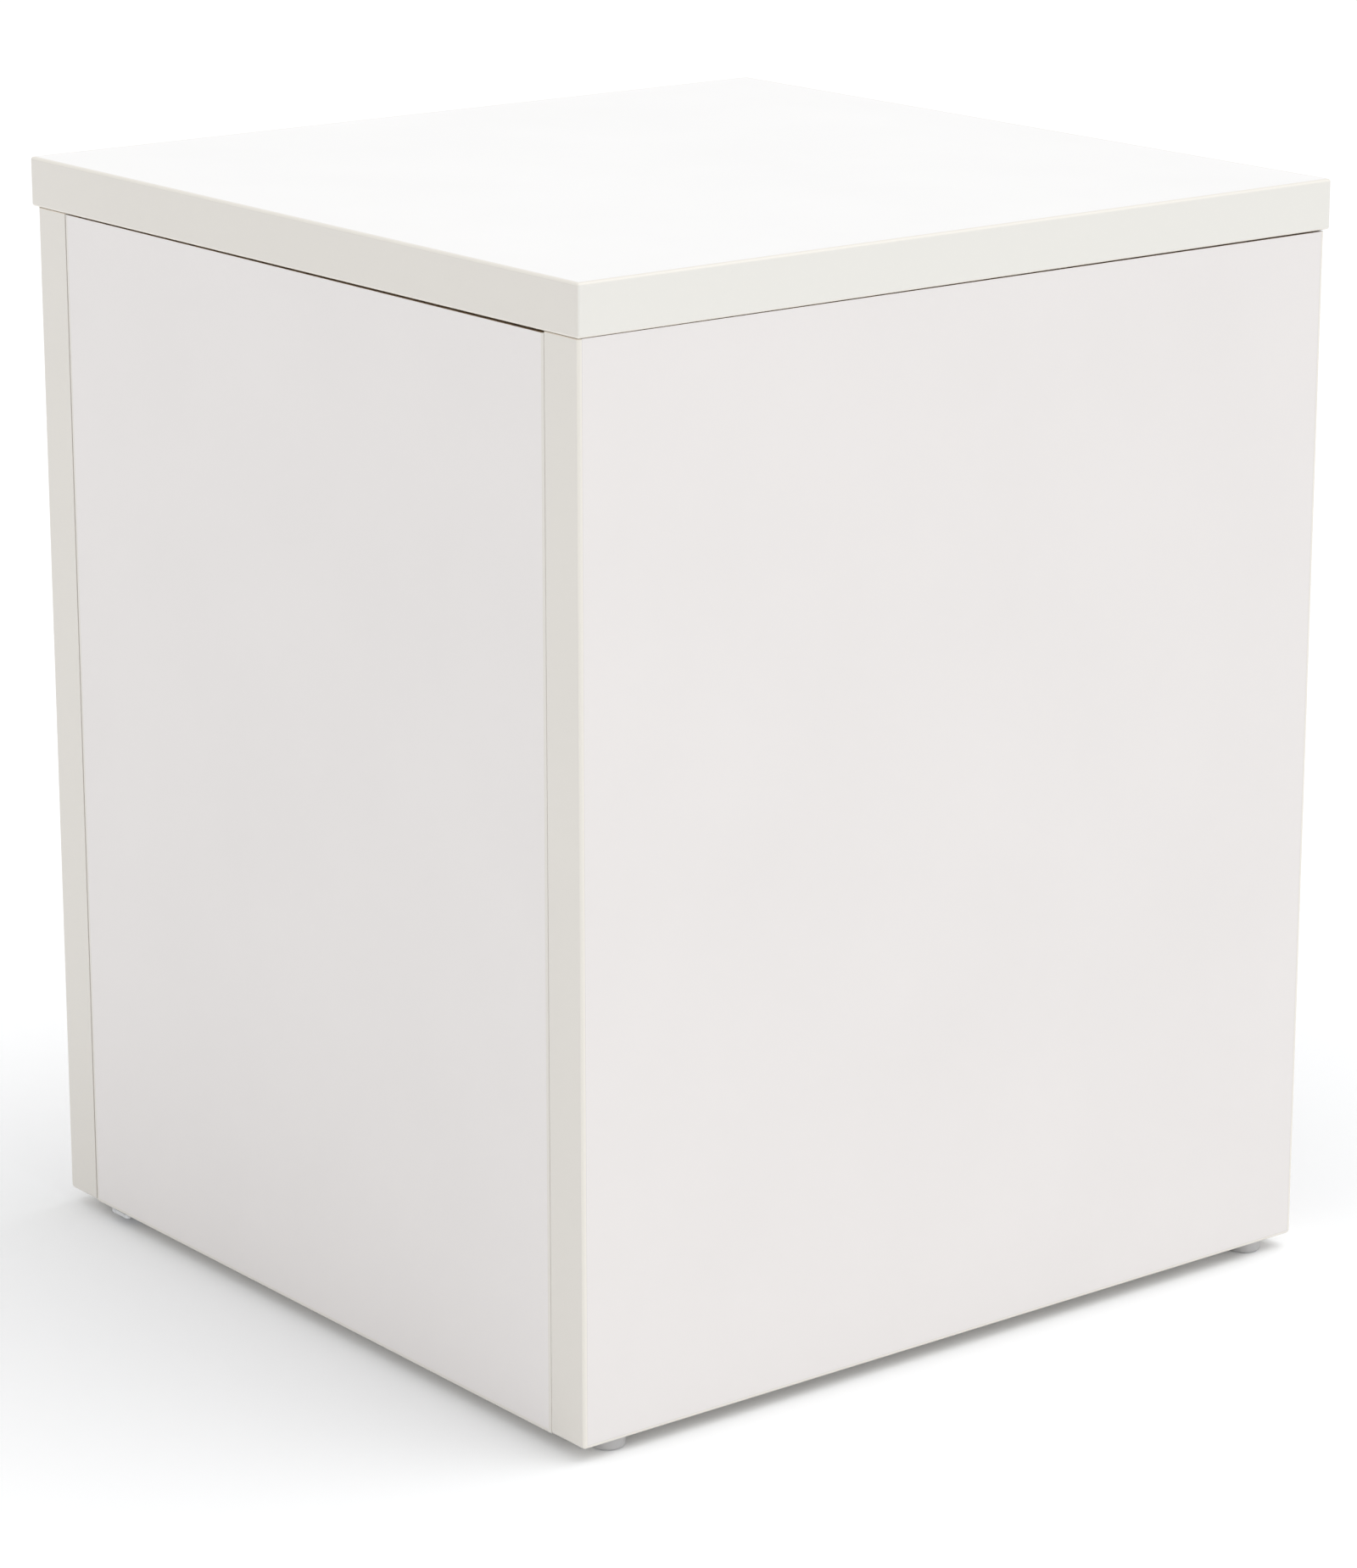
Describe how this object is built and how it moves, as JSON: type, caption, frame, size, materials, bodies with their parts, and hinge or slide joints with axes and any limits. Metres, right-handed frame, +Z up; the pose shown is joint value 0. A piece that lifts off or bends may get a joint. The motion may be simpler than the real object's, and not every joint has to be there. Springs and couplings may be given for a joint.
{
  "type": "mini fridge",
  "caption": "Compact fridge in a plain white board casing: thick top, two side panels, inset handleless hinged door, foamed cell with ice box and shelves, compressor circuit at the rear.",
  "frame": {"origin": "on the floor, at the middle of the top panel's outline", "axes": "+Z up, the door faces -Y, +X to the right when facing the door"},
  "size_m": [0.456, 0.464, 0.557],
  "materials": {
    "board_melamine": "satin",
    "edge_band": "satin",
    "zinc_steel": "satin",
    "dowel_beech": "matte",
    "glide_plastic": "satin",
    "bush_nylon": "satin",
    "foam": "matte",
    "liner_plastic": "gloss",
    "gasket_vinyl": "satin",
    "clear_plastic": "gloss",
    "wrap_steel": "satin",
    "ice_box_aluminium": "satin",
    "white_moulding": "satin",
    "shelf_wire": "gloss",
    "shelf_glass": "polished",
    "lamp_glass": "polished",
    "black_plastic": "satin",
    "knob_plastic": "gloss",
    "black_paint": "satin",
    "black_rubber": "matte",
    "copper": "satin",
    "pan_plastic": "matte",
    "blade_brass": "polished"
  },
  "bodies": {
    "cabinet": {"top_panel": "board_melamine", "top_edge_bands": "edge_band", "left_side_panel": "board_melamine", "right_side_panel": "board_melamine", "side_edge_bands": "edge_band", "base_panel": "board_melamine", "rear_rail": "board_melamine", "cam_discs": "zinc_steel", "cam_bolts": "zinc_steel", "dowels": "dowel_beech", "glides": "glide_plastic", "glide_nails": "zinc_steel", "upper_hinge": "zinc_steel", "lower_hinge": "zinc_steel", "hinge_screws": "zinc_steel", "cell_wrap": "wrap_steel", "cell_foam": "foam", "cell_liner": "liner_plastic", "cell_brackets": "zinc_steel", "switch_barrel": "white_moulding", "ice_box": "ice_box_aluminium", "ice_box_spacers": "white_moulding", "ice_box_frame": "white_moulding", "control_housing": "white_moulding", "lamp_cover": "clear_plastic", "lamp_bulb": "lamp_glass", "thermostat": "zinc_steel", "compressor": "black_paint", "compressor_grommets": "black_rubber", "compressor_bolts": "zinc_steel", "compressor_plate": "zinc_steel", "starter_cover": "black_plastic", "condenser_tube": "black_paint", "condenser_wires": "black_paint", "condenser_stays": "white_moulding", "filter_drier": "copper", "capillary_tube": "copper", "suction_tube": "copper", "discharge_tube": "copper", "evaporating_pan": "pan_plastic", "drain_tube": "white_moulding", "power_inlet": "black_plastic", "inlet_blades": "blade_brass", "inner_lead": "black_rubber"},
    "door": {"door_panel": "board_melamine", "door_edge_bands": "edge_band", "door_bushes": "bush_nylon", "door_foam": "foam", "door_liner": "liner_plastic", "door_gasket": "gasket_vinyl"},
    "lower_bin": {"lower_door_bin": "clear_plastic"},
    "upper_bin": {"upper_door_bin": "clear_plastic"},
    "flap": {"ice_box_flap": "clear_plastic"},
    "tray": {"drip_tray": "clear_plastic"},
    "upper_shelf": {"wire_shelf": "shelf_wire"},
    "lower_shelf": {"glass_shelf": "shelf_glass", "glass_shelf_trims": "white_moulding"},
    "knob": {"thermostat_knob": "knob_plastic", "thermostat_shaft": "zinc_steel"},
    "plunger": {"switch_plunger": "white_moulding"}
  },
  "joints": [
    {"name": "door_hinge", "type": "hinge", "parent": "cabinet", "child": "door", "pos_m": [-0.183, -0.228, 0.2695], "axis": [0, 0, -1], "range_deg": [0, 95]},
    {"name": "lower_bin_lift", "type": "slide", "parent": "door", "child": "lower_bin", "axis": [0, 0, 1], "range_m": [0, 0.022]},
    {"name": "upper_bin_lift", "type": "slide", "parent": "door", "child": "upper_bin", "axis": [0, 0, 1], "range_m": [0, 0.022]},
    {"name": "flap_hinge", "type": "hinge", "parent": "cabinet", "child": "flap", "pos_m": [-0.032, -0.098, 0.483], "axis": [-1, 0, 0], "range_deg": [0, 70]},
    {"name": "tray_slide", "type": "slide", "parent": "cabinet", "child": "tray", "axis": [0, -1, 0], "range_m": [0, 0.035]},
    {"name": "wire_shelf_slide", "type": "slide", "parent": "cabinet", "child": "upper_shelf", "axis": [0, -1, 0], "range_m": [0, 0.025]},
    {"name": "glass_shelf_slide", "type": "slide", "parent": "cabinet", "child": "lower_shelf", "axis": [0, -1, 0], "range_m": [0, 0.025]},
    {"name": "knob_turn", "type": "hinge", "parent": "cabinet", "child": "knob", "pos_m": [0.12425, -0.094, 0.463], "axis": [0, -1, 0], "range_deg": [0, 270]},
    {"name": "plunger_slide", "type": "slide", "parent": "cabinet", "child": "plunger", "axis": [0, -1, 0], "range_m": [0, 0.004]}
  ],
  "couplings": [
    {"joint": "plunger_slide", "follows": "door_hinge", "m_per_rad": 0.0024}
  ]
}
